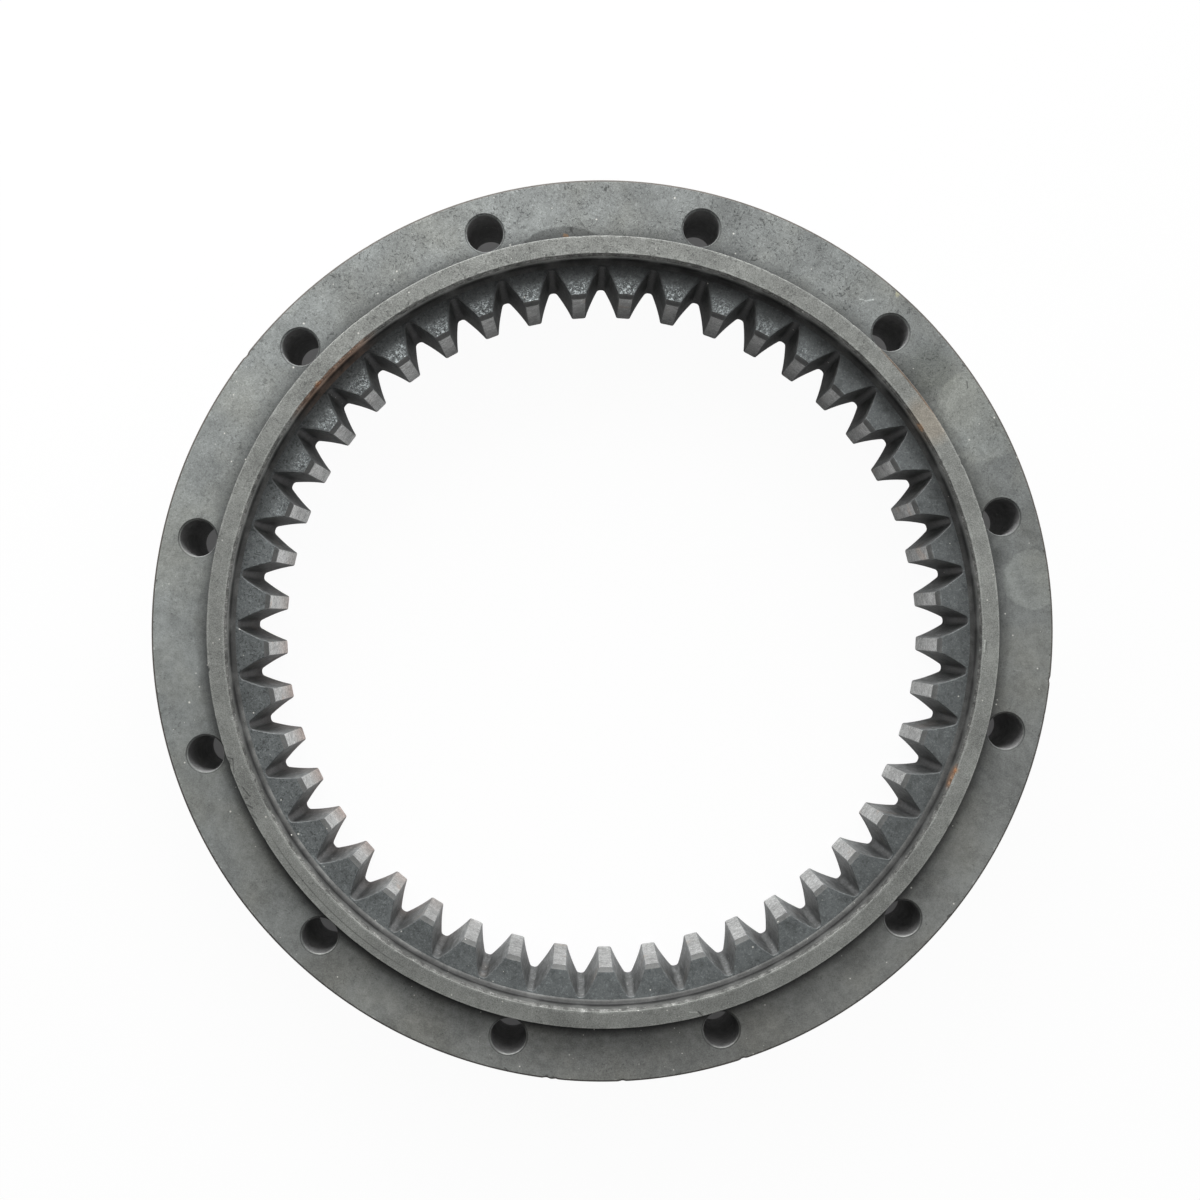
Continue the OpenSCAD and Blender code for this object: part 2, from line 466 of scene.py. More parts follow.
def ring_surface():
    """The whole ring gear as one closed surface."""
    surface = Surface()
    points, zones = section()
    loops = [surface.circle(r, z) for r, z in points]
    open_at = zones.index(None)
    for i, zone in enumerate(zones):
        if zone is not None:
            surface.band(loops[i], loops[i + 1], zone)

    holes_front, holes_back = bolt_holes(surface)
    back_inner = surface.circle(ROOT_R + 5.0, 0.0)
    holed_face(surface, loops[open_at], loops[open_at + 1], holes_front, FLANGE)
    holed_face(surface, back_inner, loops[-1], holes_back, BACK)

    front = Crease(FRONT_CREASE, TIP_R + FRONT_CUT[0])
    back = Crease(BACK_CREASE, TIP_R + BACK_CUT[0])

    walls = [
        outline_loop(surface, EDGE_BREAK, back, lambda r: cut_height(BACK_CUT, r)),
        outline_loop(surface, 0.0, back, lambda r: cut_height(BACK_CUT, r) + EDGE_BREAK),
        outline_loop(surface, 0.0, back, lambda r: FACE_Z * 0.4),
        outline_loop(surface, 0.0, front, lambda r: FACE_Z - cut_height(FRONT_CUT, r) - EDGE_BREAK),
        outline_loop(surface, EDGE_BREAK, front, lambda r: FACE_Z - cut_height(FRONT_CUT, r)),
    ]
    land_round = (LAND_START + BACK_CREASE) // 2
    on_land = range(land_round, len(WHOLE) - land_round)
    wall_zones = (BACK, FLANK, FLANK, FACE)
    tip_zones = (LAND, LAND, LAND, TIP_CUT)
    for first, other, wall, tip in zip(walls, walls[1:], wall_zones, tip_zones):
        surface.band(first, other, [tip if i % len(WHOLE) in on_land else wall for i in range(len(first))])
    tooth_end(surface, walls[-1], loops[0], FRONT_CUT, front, FACE_Z, 1)
    tooth_end(surface, walls[0], back_inner, BACK_CUT, back, 0.0, -1)
    wear_edges(surface, loops, points)
    return surface


def wear_edges(surface, loops, points):
    """Nicks in the edges, and a slightly uneven mouth of the recess."""
    for loop, (radius, height) in zip(loops, points):
        if height > TOP_Z - MOUTH_DEPTH - MOUTH_REACH and radius < RECESS_R + MOUTH_WIDTH + MOUTH_REACH:
            surface.widen(loop, *MOUTH_WAVES)
    for radius, angle, height, width, depth in NICKS:
        inside = (radius - 4, height - 4) if radius > RIM_MIDDLE_R else (radius + 3, height - 5)
        surface.dent(radius, math.radians(angle), height, width, depth, inside)
    for radius, height, count, seed in SMALL_NICKS:
        random = np.random.default_rng(seed)
        inside = (radius - 4 if radius > RIM_MIDDLE_R else radius + 4, abs(height - 4))
        for angle, width, depth in random.uniform(*SMALL_NICK_RANGE, (count, 3)):
            surface.dent(radius, angle, height, width, depth, inside)


def make_piece(name, surface, materials):
    mesh = bpy.data.meshes.new(name)
    mesh.from_pydata((np.array(surface.points) * MM).tolist(), [], surface.faces)
    for material in materials:
        mesh.materials.append(material)
    mesh.polygons.foreach_set("material_index", surface.zones)
    shape = bmesh.new()
    shape.from_mesh(mesh)
    bmesh.ops.recalc_face_normals(shape, faces=shape.faces)
    for face in shape.faces:
        face.smooth = True
    for edge in shape.edges:
        edge.smooth = edge.calc_face_angle(0.0) < math.radians(40)
    shape.to_mesh(mesh)
    shape.free()
    piece = add_object(name, mesh)
    weighted = piece.modifiers.new("flat faces stay flat", "WEIGHTED_NORMAL")
    weighted.mode = "FACE_AREA"
    weighted.weight = 100
    weighted.keep_sharp = True
    return piece


def add_node(tree, kind, inputs=None, **settings):
    """A shader node. An input is a number or colour, or another node's socket that is linked to it."""
    node = tree.nodes.new(kind)
    for key, value in settings.items():
        setattr(node, key, value)
    for key, value in (inputs or {}).items():
        if isinstance(value, bpy.types.NodeSocket):
            tree.links.new(value, node.inputs[key])
        else:
            node.inputs[key].default_value = value
    return node


def calculate(tree, operation, first, second=0.0):
    return add_node(tree, "ShaderNodeMath", {0: first, 1: second}, operation=operation).outputs[0]


def vector(tree, operation, first, second=(0.0, 0.0, 0.0)):
    """A calculation with vectors. A dot product, a length and a distance give a number."""
    node = add_node(tree, "ShaderNodeVectorMath", {0: first, 1: second}, operation=operation)
    return node.outputs["Value" if operation in ("DOT_PRODUCT", "LENGTH", "DISTANCE") else "Vector"]


def scaled(tree, way, factor):
    inputs = {0: way, "Scale": factor}
    return add_node(tree, "ShaderNodeVectorMath", inputs, operation="SCALE").outputs["Vector"]


def parts_of(tree, place):
    return add_node(tree, "ShaderNodeSeparateXYZ", {0: place}).outputs


def product(tree, *factors):
    total = factors[0]
    for factor in factors[1:]:
        total = calculate(tree, "MULTIPLY", total, factor)
    return total


def noise(tree, place, scale, detail=2.0, roughness=0.5, distortion=0.0):
    inputs = {"Vector": place, "Scale": scale, "Detail": detail}
    inputs |= {"Roughness": roughness, "Distortion": distortion}
    return add_node(tree, "ShaderNodeTexNoise", inputs).outputs["Fac"]


def spread(tree, value, low, high, to_low=0.0, to_high=1.0):
    """Value from low to high mapped to to_low to to_high, with nothing past the ends."""
    limits = {"Value": value, "From Min": low, "From Max": high, "To Min": to_low, "To Max": to_high}
    return add_node(tree, "ShaderNodeMapRange", limits).outputs["Result"]


def mix_colour(tree, share, first, second, blend="MIX"):
    node = add_node(tree, "ShaderNodeMix", data_type="RGBA", blend_type=blend)
    for key, value in ((0, share), (6, first), (7, second)):
        if isinstance(value, bpy.types.NodeSocket):
            tree.links.new(value, node.inputs[key])
        else:
            node.inputs[key].default_value = value if key == 0 else (*value, 1.0)
    return node.outputs[2]


def empty_material(name):
    material = bpy.data.materials.new(name)
    material.use_nodes = True
    material.node_tree.nodes.clear()
    return material, material.node_tree


def weighted_sum(tree, terms):
    """The sum of sockets, each times its weight."""
    total = 0.0
    for socket, weight in terms:
        node = add_node(tree, "ShaderNodeMath", {0: socket, 1: weight, 2: total}, operation="MULTIPLY_ADD")
        total = node.outputs[0]
    return total


def shade(tree, colour, share, factor):
    """The colour times a factor, where share is 1. The factor is a number, or three for the colours."""
    tone = factor if isinstance(factor, tuple) else (factor, factor, factor)
    return mix_colour(tree, share, colour, tone, "MULTIPLY")


def radius_of(tree, place):
    """Distance from the gear axis, in millimetres."""
    return vector(tree, "LENGTH", vector(tree, "MULTIPLY", place, (1 / MM, 1 / MM, 0.0)))


def height_of(tree, place):
    """Height over the back face, in millimetres."""
    return product(tree, parts_of(tree, place)[2], 1 / MM)


def distance_from(tree, place, point):
    """Distance from a point, in millimetres."""
    return product(tree, vector(tree, "DISTANCE", place, point), 1 / MM)


def angle_of(tree, place):
    parts = parts_of(tree, place)
    return calculate(tree, "ARCTAN2", parts[1], parts[0])


def from_tooth_middle(tree, place):
    """Distance round the circle from the middle of the nearest tooth, in millimetres."""
    angle = calculate(tree, "SUBTRACT", angle_of(tree, place), TOOTH_PHASE + PITCH / 2)
    pitches = calculate(tree, "DIVIDE", angle, PITCH)
    off = calculate(tree, "SUBTRACT", pitches, calculate(tree, "ROUND", pitches))
    return product(tree, calculate(tree, "ABSOLUTE", off), PITCH, radius_of(tree, place))


def from_nearest_hole(tree, place):
    """The place as seen from the axis of the nearest bolt hole."""
    pitches = calculate(tree, "DIVIDE", angle_of(tree, place), BOLT_PITCH)
    turn = product(tree, calculate(tree, "ROUND", pitches), BOLT_PITCH)
    way = {0: calculate(tree, "COSINE", turn), 1: calculate(tree, "SINE", turn)}
    way = add_node(tree, "ShaderNodeCombineXYZ", way).outputs[0]
    return vector(tree, "SUBTRACT", place, scaled(tree, way, BOLT_R * MM))


def from_face_edge(tree, place):
    """How far a point of a tooth face lies inside the nearer flank, in millimetres."""
    half_width = weighted_sum(tree, ((radius_of(tree, place), FACE_WIDENING),))
    half_width = calculate(tree, "ADD", half_width, FACE_HALF_WIDTH - FACE_WIDENING * (TIP_R + FRONT_CUT[0]))
    return calculate(tree, "SUBTRACT", half_width, from_tooth_middle(tree, place))


def toward(tree, place, heading, low, high):
    """0 to 1 with how far a point lies toward a heading of the photograph, from low to high millimetres."""
    way = from_photo(*polar(1.0, math.radians(heading)), 0.0)
    return spread(tree, vector(tree, "DOT_PRODUCT", place, way), low * MM, high * MM)


def line_at(tree, value, middle, outer, inner):
    """1 where a value is within inner of the middle, down to 0 at outer."""
    off = calculate(tree, "ABSOLUTE", calculate(tree, "SUBTRACT", value, middle))
    return spread(tree, off, outer, inner)


def patches(tree, place, colour, where, *layers):
    """Each layer takes the colour times its factor, where a noise passes from low to high.

    where limits the layers to a part. A layer's last number, its noise's distortion, can be left out.
    """
    for scale, low, high, factor, *distortion in layers:
        share = spread(tree, noise(tree, place, scale, 3, 0.6, *distortion), low, high)
        colour = shade(tree, colour, product(tree, share, where), factor)
    return colour


# Tone of the specks, and the smallest of them as a share of the size asked for
SPECK_TONE = (0.72, 0.71, 0.66)
SMALLEST_SPECK = 0.35


def specks(tree, place, scale, size, rarity):
    """Small dots of several sizes, at the middle of a Voronoi pattern's cells. A high rarity leaves few."""
    cells = add_node(tree, "ShaderNodeTexVoronoi", {"Vector": place, "Scale": scale}).outputs
    lots = parts_of(tree, cells["Color"])
    away = calculate(tree, "DIVIDE", cells["Distance"], calculate(tree, "ADD", lots[1], SMALLEST_SPECK))
    chosen = calculate(tree, "GREATER_THAN", lots[0], rarity)
    return product(tree, spread(tree, away, size, size / 2), chosen)


def distance_from_line(tree, place, start, end):
    """Distance in millimetres from the straight line between two points."""
    length = (end - start).length
    way = (end - start).normalized()
    local = vector(tree, "SUBTRACT", place, start)
    reach = spread(tree, vector(tree, "DOT_PRODUCT", local, way), 0.0, length, 0.0, length)
    return distance_from(tree, local, scaled(tree, way, reach))


def foot_band_and_shadow(tree, place, colour):
    """The darker band on the flange round the foot of the spigot, with a wavy outer edge, and a painted
    shadow of the spigot on the flange toward heading 270.
    """
    radius = radius_of(tree, place)
    wave = spread(tree, noise(tree, place, 55, 3, 0.6), 0.3, 0.7, -2.6, 2.6)
    wavy = calculate(tree, "ADD", radius, wave)
    stain = spread(tree, wavy, SPIGOT_R + 6.6, SPIGOT_R + 5.4)
    colour = shade(tree, colour, product(tree, stain, toward(tree, place, 90, -90, 20)), 0.84)
    ramp = spread(tree, radius, SPIGOT_R + 6.2, SPIGOT_R + 2.0)
    colour = shade(tree, colour, product(tree, ramp, toward(tree, place, 90, -150, -20)), 0.72)
    colour = shade(tree, colour, spread(tree, radius, SPIGOT_R + 3.6, SPIGOT_R + 1.6), 0.75)
    # Painted shadow of the spigot on the flange, toward heading 270
    shadow = spread(tree, radius, SPIGOT_R + 5.6, SPIGOT_R + 1.6)
    return shade(tree, colour, product(tree, shadow, toward(tree, place, 270, 0, 100)), 0.13)


def tide_marks_and_side_shade(tree, place, colour):
    """Pale areas with a clear edge, where a liquid dried, areas of a warmer tint, painted shade toward
    headings 35 and 285, the latter with a warmer tint, and painted light toward heading 205.
    """
    field = noise(tree, place, 17, 2, 0.4)
    colour = shade(tree, colour, spread(tree, field, 0.5, 0.515), 1.09)
    colour = shade(tree, colour, spread(tree, field, 0.42, 0.405), 0.93)
    tinted = spread(tree, noise(tree, place, 31, 3, 0.6), 0.45, 0.65)
    colour = shade(tree, colour, tinted, (1.02, 1.0, 0.96))
    # Painted shade toward heading 35, painted light toward heading 205, and painted shade with a warmer tint
    # toward heading 285
    colour = shade(tree, colour, toward(tree, place, 35, 70, 170), 0.86)
    colour = shade(tree, colour, toward(tree, place, 205, 50, 150), 1.11)
    return shade(tree, colour, toward(tree, place, 285, 0, 165), (0.91, 0.88, 0.86))


def hole_edges_and_highlight(tree, place, colour):
    """A thin dark line round the mouth of each bolt hole, and inside it a painted highlight, a bright
    crescent on the holes toward the bottom.
    """
    local = from_nearest_hole(tree, place)
    radius = radius_of(tree, local)
    colour = shade(tree, colour, line_at(tree, radius, HOLE_R + COUNTERSINK - 0.05, 0.3, 0.12), 0.42)
    # Painted highlight on the side of the countersink that faces the light, in the holes toward heading 270
    low_side = product(tree, toward(tree, local, 285, 4.5, HOLE_R), toward(tree, place, 270, 40, 140))
    crescent = product(tree, spread(tree, radius, HOLE_R + 0.45, HOLE_R + 0.3), low_side)
    return shade(tree, colour, crescent, 2.6)


def lit_hole_walls(tree, place, colour):
    """Painted light on each bolt hole's wall, on its side toward heading 285, which faces the light."""
    return shade(tree, colour, toward(tree, from_nearest_hole(tree, place), 285, 0, HOLE_R), 1.75)


def chipped_edge(tree, place, colour):
    """A dark brown line along the outer edge of the flange, with bright and dark chips inside it."""
    radius = radius_of(tree, place)
    edge = spread(tree, radius, OUTER_R - 1.7, OUTER_R - 1.2)
    colour = patches(tree, place, colour, edge, (420, 0.62, 0.66, 1.5), (380, 0.38, 0.34, 0.45))
    line = spread(tree, radius, OUTER_R - 0.8, OUTER_R - 0.4)
    return shade(tree, colour, line, (0.46, 0.4, 0.37))


def scabs_and_top_light(tree, place, colour):
    """Dark curly scabs in clusters and bright specks between them, most of all toward the top, where the
    flange is also painted lighter.
    """
    top = toward(tree, place, 90, -20, 150)
    clusters = spread(tree, noise(tree, place, 75, 3, 0.6), 0.36, 0.54)
    # Painted light: the flange is lighter toward the top
    colour = shade(tree, colour, top, 1.16)
    colour = patches(tree, place, colour, top, (150, 0.52, 0.64, 0.84))
    colour = patches(tree, place, colour, product(tree, top, clusters), (430, 0.58, 0.63, 0.36, 2.0))
    return patches(tree, place, colour, top, (1100, 0.55, 0.62, 0.62, 1.0), (1300, 0.54, 0.64, 1.35, 1.0))


def scratches(heading, factor, rarity=0.55):
    """A mark of thin straight scratches in one direction, here and there."""

    def paint(tree, place, colour):
        turn = {"Vector": place, "Rotation": (0, 0, math.radians(heading)), "Scale": (80, 3000, 80)}
        lines = noise(tree, add_node(tree, "ShaderNodeMapping", turn).outputs[0], 1.0, 1.0)
        where = spread(tree, noise(tree, place, 90, 2), rarity, rarity + 0.08)
        return shade(tree, colour, product(tree, spread(tree, lines, 0.66, 0.72), where), factor)

    return paint


def worn_rim_and_side_light(tree, place, colour):
    """Bare metal along both edges of the rim's flat top, painted light toward heading 0, a groove, a rusty
    line, and pits at the top.
    """
    radius = radius_of(tree, place)
    wear = spread(tree, noise(tree, place, 150, 3, 0.6), 0.35, 0.65, -0.25, 0.35)
    inner = calculate(tree, "LESS_THAN", radius, calculate(tree, "ADD", wear, RECESS_R + MOUTH_WIDTH + 0.6))
    outer = calculate(tree, "GREATER_THAN", radius, calculate(tree, "SUBTRACT", SPIGOT_R - 0.6, wear))
    colour = shade(tree, colour, calculate(tree, "MAXIMUM", inner, outer), 1.22)
    # Painted light on the rim toward heading 0
    colour = shade(tree, colour, toward(tree, place, 0, 50, 150), 1.12)
    groove = line_at(tree, radius, SPIGOT_R - 2.7, 0.3, 0.1)
    groove = product(tree, groove, toward(tree, place, 225, 143.5, 146.5))
    colour = shade(tree, colour, groove, 0.58)
    rust = spread(tree, radius, SPIGOT_R - 0.95, SPIGOT_R - 0.6)
    rust = product(tree, rust, toward(tree, place, 40, 150.7, 151.1))
    colour = shade(tree, colour, rust, (0.6, 0.45, 0.36))
    pits = ((380, 0.56, 0.66, 0.72, 0.8), (700, 0.58, 0.63, 0.5, 1.5), (1300, 0.56, 0.66, 1.3, 0.8))
    return patches(tree, place, colour, toward(tree, place, 100, 20, 145), *pits)


def rough_mouth_and_shade(tree, place, colour):
    """The slope at the mouth of the recess, with painted shade toward heading 45, chipped and worn unevenly.
    """
    # Painted shade on the slope toward heading 45, where it faces away from the light
    colour = shade(tree, colour, toward(tree, place, 45, -20, 100), 0.8)
    chips = ((330, 0.52, 0.42, 0.6), (500, 0.58, 0.64, 1.5, 1.0), (1100, 0.55, 0.64, 1.7, 0.8))
    return patches(tree, place, colour, 1.0, *chips)


def shaded_recess_wall(tree, place, colour):
    """Painted shade in the fillet of the recess, darker behind each tooth and deepest toward the bottom,
    painted light on the upper wall toward the top, and a painted highlight on the step toward the bottom.
    """
    height = calculate(tree, "SUBTRACT", height_of(tree, place), FACE_Z)
    bottom = toward(tree, place, 265, 20, 120)
    low = spread(tree, height, 3.4, 1.4)
    # Painted shade in the fillet of the recess
    colour = shade(tree, colour, low, 0.42)
    fillet_band = product(tree, spread(tree, height, 4.8, 2.8), spread(tree, height, STEP, 1.0))
    behind_tooth = spread(tree, from_tooth_middle(tree, place), 8.6, 5.6)
    colour = shade(tree, colour, product(tree, fillet_band, behind_tooth), 0.5)
    colour = shade(tree, colour, product(tree, spread(tree, height, 2.4, 1.6), bottom), 0.42)
    colour = patches(tree, place, colour, low, (65, 0.46, 0.6, 1.7, 0.6))
    # Painted light on the upper wall toward the top
    lit_upper_wall = product(tree, spread(tree, height, 1.6, 4.8), toward(tree, place, 100, -30, 140))
    colour = shade(tree, colour, lit_upper_wall, 3.6)
    # Painted highlight on the step toward the bottom
    step = product(tree, spread(tree, height, 0.7, STEP), bottom)
    colour = shade(tree, colour, step, 4.4)
    return patches(tree, place, colour, 1.0, (210, 0.5, 0.65, 0.8))


def worn_crease(tree, place, colour):
    """Bare metal along the crease between the tooth faces and the cuts across their tips."""
    crease = line_at(tree, radius_of(tree, place), TIP_R + FRONT_CUT[0], 0.5, 0.25)
    broken = spread(tree, noise(tree, place, 300, 3, 0.6), 0.35, 0.6, 0.1, 1.0)
    ends = spread(tree, toward(tree, place, 90, -130, 130), 0.35, 0.65, 0.2, 1.0)
    ends = product(tree, ends, toward(tree, place, 0, -110, -60))
    return shade(tree, colour, product(tree, crease, broken, ends), 1.6)


def face_spots_and_painted_light(tree, place, colour):
    """Soft dark spots on the tooth faces; toward the top, painted light and painted glints near the tips, and
    painted shade along the face edges and at the foot of the faces.
    """
    radius = radius_of(tree, place)
    inside = from_face_edge(tree, place)
    top = toward(tree, place, 106, 68, 120)
    left = toward(tree, place, 165, -60, 120)
    glint_area = product(tree, spread(tree, radius, 138.6, 134.6), spread(tree, inside, 0.1, 1.3), top)
    # Painted light and painted glints near the tips toward the top
    colour = shade(tree, colour, glint_area, 1.15)
    colour = patches(tree, place, colour, glint_area, (1200, 0.52, 0.57, 4.6, 1.2), (900, 0.47, 0.42, 0.25, 1.2))
    # Painted shade along the face edges toward the top
    colour = shade(tree, colour, product(tree, spread(tree, inside, 0.9, 0.2), top), 0.6)
    # Painted shade at the foot of the faces toward the top
    foot = product(tree, spread(tree, radius, 137.5, 141.0), toward(tree, place, 90, 10, 105))
    colour = shade(tree, colour, foot, 0.6)
    colour = patches(tree, place, colour, 1.0, (420, 0.52, 0.66, 0.76, 0.8))
    colour = patches(tree, place, colour, left, (600, 0.55, 0.6, 0.48, 1.5))
    return patches(tree, place, colour, 1.0, (1300, 0.55, 0.64, 1.5))


def streaked_flank_and_painted_light(tree, place, colour):
    """Streaks along the flanks, painted shade in the roots away from the bottom, deepest toward the top,
    painted light near the tips toward the bottom, and broken stripes of painted light in the roots at the
    bottom.
    """
    along = add_node(tree, "ShaderNodeMapping", {"Vector": place, "Scale": (1, 1, 0.15)}).outputs[0]
    colour = patches(tree, along, colour, 1.0, (900, 0.45, 0.6, 1.5), (420, 0.52, 0.4, 0.7))
    radius = radius_of(tree, place)
    bottom = toward(tree, place, 270, 30, 130)
    elsewhere = calculate(tree, "SUBTRACT", 1.0, bottom)
    # Painted shade in the roots, away from the bottom
    colour = shade(tree, colour, product(tree, spread(tree, radius, 136.0, 140.5), elsewhere), 0.76)
    # Painted light near the tips, most toward the bottom
    lit_near_tip = product(tree, spread(tree, radius, 138.0, 131.0), toward(tree, place, 270, -90, 90))
    colour = shade(tree, colour, lit_near_tip, 1.9)
    from_middle = from_tooth_middle(tree, place)
    # Painted shade on the floor of the roots, deepest toward the top
    shaded_root_floor = spread(tree, from_middle, 8.4, 8.9)
    colour = shade(tree, colour, product(tree, shaded_root_floor, elsewhere), 0.5)
    colour = shade(tree, colour, product(tree, shaded_root_floor, toward(tree, place, 90, 40, 120)), 0.5)
    # Broken stripes of painted light in the roots at the bottom
    lit_root_stripe = spread(tree, from_middle, 8.0, 9.4)
    return patches(tree, place, colour, product(tree, lit_root_stripe, bottom), (650, 0.46, 0.56, 1.6))


def rusty_ends(tree, place, colour):
    """Reddish brown far ends of the teeth at the photograph's lower left, and a trace of it elsewhere."""
    where = product(tree, spread(tree, height_of(tree, place), 24.0, 2.0), toward(tree, place, 205, 95, 128))
    colour = shade(tree, colour, where, (0.95, 0.8, 0.74))
    traces = spread(tree, noise(tree, place, 60, 3, 0.6), 0.6, 0.68, 0.0, 0.6)
    return shade(tree, colour, traces, (1.02, 0.86, 0.76))


def mottled_land_and_side_light(tree, place, colour):
    """Uneven polish on the tooth lands, with painted shade toward heading 65 that deepens toward their far
    ends there, painted light toward heading 165 and painted shade toward heading 235.
    """
    # Painted shade and painted light on the lands by heading
    shaded_side = toward(tree, place, 65, 20, 125)
    colour = shade(tree, colour, shaded_side, 0.78)
    colour = shade(tree, colour, product(tree, shaded_side, spread(tree, height_of(tree, place), 34.0, 4.0)), 0.66)
    colour = shade(tree, colour, toward(tree, place, 165, 40, 125), 1.3)
    colour = shade(tree, colour, toward(tree, place, 235, 60, 120), 0.84)
    return patches(tree, place, colour, 1.0, (600, 0.52, 0.6, 0.66, 0.8), (1100, 0.52, 0.6, 1.35, 0.8))


def shaded_cut(tree, place, colour):
    """Painted shade on the cuts across the tooth tips, at the right, the top and the left."""
    for heading, low, high, factor in ((45, -60, 60, 0.72), (90, 100, 130, 0.78), (185, 60, 120, 0.66)):
        colour = shade(tree, colour, toward(tree, place, heading, low, high), factor)
    return colour


def dark_edge(tree, place, colour):
    """A brownish dark line along the outer edge of the flange."""
    edge = spread(tree, height_of(tree, place), FLANGE_Z - 1.4, FLANGE_Z - FLANGE_CHAMFER)
    edge = product(tree, edge, calculate(tree, "GREATER_THAN", radius_of(tree, place), OUTER_R - 2))
    return shade(tree, colour, edge, (0.6, 0.52, 0.46))


PALE = (1.24, 1.24, 1.22)
SMUDGE = (0.7, 0.7, 0.7)
RUST = (1.15, 0.84, 0.62)
BROWN = (1.08, 0.97, 0.88)
# Round stains: radius and angle in degrees of the middle, reach, width of the soft edge, and tone
FLANGE_STAINS = [
    (168.2, 20.9, 11.8, 0.7, PALE),
    (169.6, 43.7, 18.4, 0.7, PALE),
    (162.0, 52.5, 9.0, 7.0, (0.8, 0.81, 0.78)),
    (156.7, 24.5, 3.6, 3.0, SMUDGE),
    (173.7, 62.8, 0.7, 0.6, (1.9, 1.8, 1.4)),
    (132.1, 109.7, 25.6, 0.8, (0.52, 0.52, 0.52)),
    (165.9, 98.7, 5.5, 4.0, (0.88, 0.88, 0.88)),
    (153.8, 108.9, 0.9, 0.5, (2.3, 1.3, 0.7)),
]
RIM_STAINS = [
    (149.0, 47.0, 9.0, 4.0, BROWN),
    (143.0, 46.9, 2.6, 0.8, RUST),
    (144.1, 152.1, 1.5, 1.0, RUST),
    (144.7, 352.4, 1.4, 1.0, RUST),
    (151.9, 212.3, 1.3, 0.8, SMUDGE),
    (150.8, 217.8, 1.1, 1.0, SMUDGE),
]
MOUTH_STAINS = RIM_STAINS + [
    (145.0, 149.5, 19.0, 10.0, (1.4, 0.95, 0.74)),
    (145.0, 351.4, 4.6, 2.0, (1.5, 0.95, 0.66)),
]
# Short scratches: radius and angle in degrees of both ends, and how much brighter or darker they are
FLANGE_CUTS = [
    (163.7, 65.5, 166.2, 64.7, 2.0),
    (162.9, 66.2, 163.6, 65.8, 1.6),
    (171.3, 48.4, 170.2, 47.7, 0.45),
    (173.7, 50.5, 174.2, 50.1, 0.45),
    (173.5, 270.5, 174.9, 271.4, 0.5),
]
RIM_CUTS = [
    (150.3, 216.2, 149.2, 217.8, 0.5),
    (151.6, 218.7, 150.2, 219.6, 0.5),
    (151.6, 220.4, 150.7, 221.2, 0.6),
    (151.7, 211.3, 149.9, 211.8, 0.55),
    (149.9, 211.8, 151.3, 213.8, 0.55),
    (150.0, 297.5, 151.8, 297.9, 0.45),
    (149.9, 297.2, 149.2, 296.2, 1.6),
    (146.3, 12.7, 146.2, 11.0, 1.7),
    (147.0, 12.4, 146.8, 11.4, 0.6),
]


def cuts(lines, height):
    """A mark of short straight scratches at one height."""

    def paint(tree, place, colour):
        for radius, angle, end_radius, end_angle, factor in lines:
            start = point_at(radius, angle, height)
            end = point_at(end_radius, end_angle, height)
            away = distance_from_line(tree, place, start, end)
            colour = shade(tree, colour, spread(tree, away, 0.4, 0.15), factor)
        return colour

    return paint


def stains(spots, height):
    """A mark of round stains at one height, with slightly uneven edges."""

    def paint(tree, place, colour):
        wave = spread(tree, noise(tree, place, 200, 3, 0.6), 0.3, 0.7, -0.8, 0.8)
        for radius, angle, reach, soft, tone in spots:
            away = distance_from(tree, place, point_at(radius, angle, height))
            away = calculate(tree, "ADD", away, wave)
            share = spread(tree, away, reach + soft / 2, reach - soft / 2)
            colour = shade(tree, colour, share, tone)
        return colour

    return paint


def steel(name, tone, metallic, roughness, marks=(), contrast=1.0, relief=1.0, fineness=0.35):
    """Phosphated steel: soft blotches, fine grain, clusters of dark pits and a few pale specks.

    marks are functions that paint one local feature each. relief is the strength of the bumps,
    and fineness the share of the finest grain in the steel's unevenness.
    """
    material, tree = empty_material(name)
    place = add_node(tree, "ShaderNodeTexCoord").outputs["Object"]
    blotches = noise(tree, place, 42, 3)
    mottle = noise(tree, place, 300, 4, 0.65)
    grain = noise(tree, place, 2200, 2, 0.6)
    mixed = weighted_sum(tree, ((blotches, 0.3), (mottle, 0.7 - fineness), (grain, fineness)))
    dark = tuple(c * (1 - 0.34 * contrast) for c in tone)
    light = tuple(c * (1 + 0.34 * contrast) for c in tone)
    colour = mix_colour(tree, spread(tree, mixed, 0.38, 0.62), dark, light)

    clusters = spread(tree, noise(tree, place, 95, 2), 0.5, 0.66)
    pits = spread(tree, noise(tree, place, 1050, 3, 0.6), 0.55, 0.68, 0.0, 0.75)
    colour = shade(tree, colour, product(tree, pits, clusters), 0.42)
    for mark in marks:
        colour = mark(tree, place, colour)
    coarse = product(tree, specks(tree, place, 400, 0.15, 0.9), 0.85)
    fine = product(tree, specks(tree, place, 560, 0.16, 0.93), toward(tree, place, 240, -20, 120), 0.8)
    for dust in (coarse, fine):
        colour = mix_colour(tree, dust, colour, SPECK_TONE)

    height = weighted_sum(tree, ((mottle, 0.6), (grain, 1.0)))
    bump = add_node(tree, "ShaderNodeBump", {"Strength": 0.4, "Distance": 0.00008 * relief, "Height": height})
    rough = spread(tree, mixed, 0.35, 0.65, roughness + 0.07, roughness - 0.07)
    shader = add_node(
        tree,
        "ShaderNodeBsdfPrincipled",
        {"Base Color": colour, "Metallic": metallic, "Roughness": rough, "Normal": bump.outputs[0]},
    )
    add_node(tree, "ShaderNodeOutputMaterial", {"Surface": shader.outputs[0]})
    return material


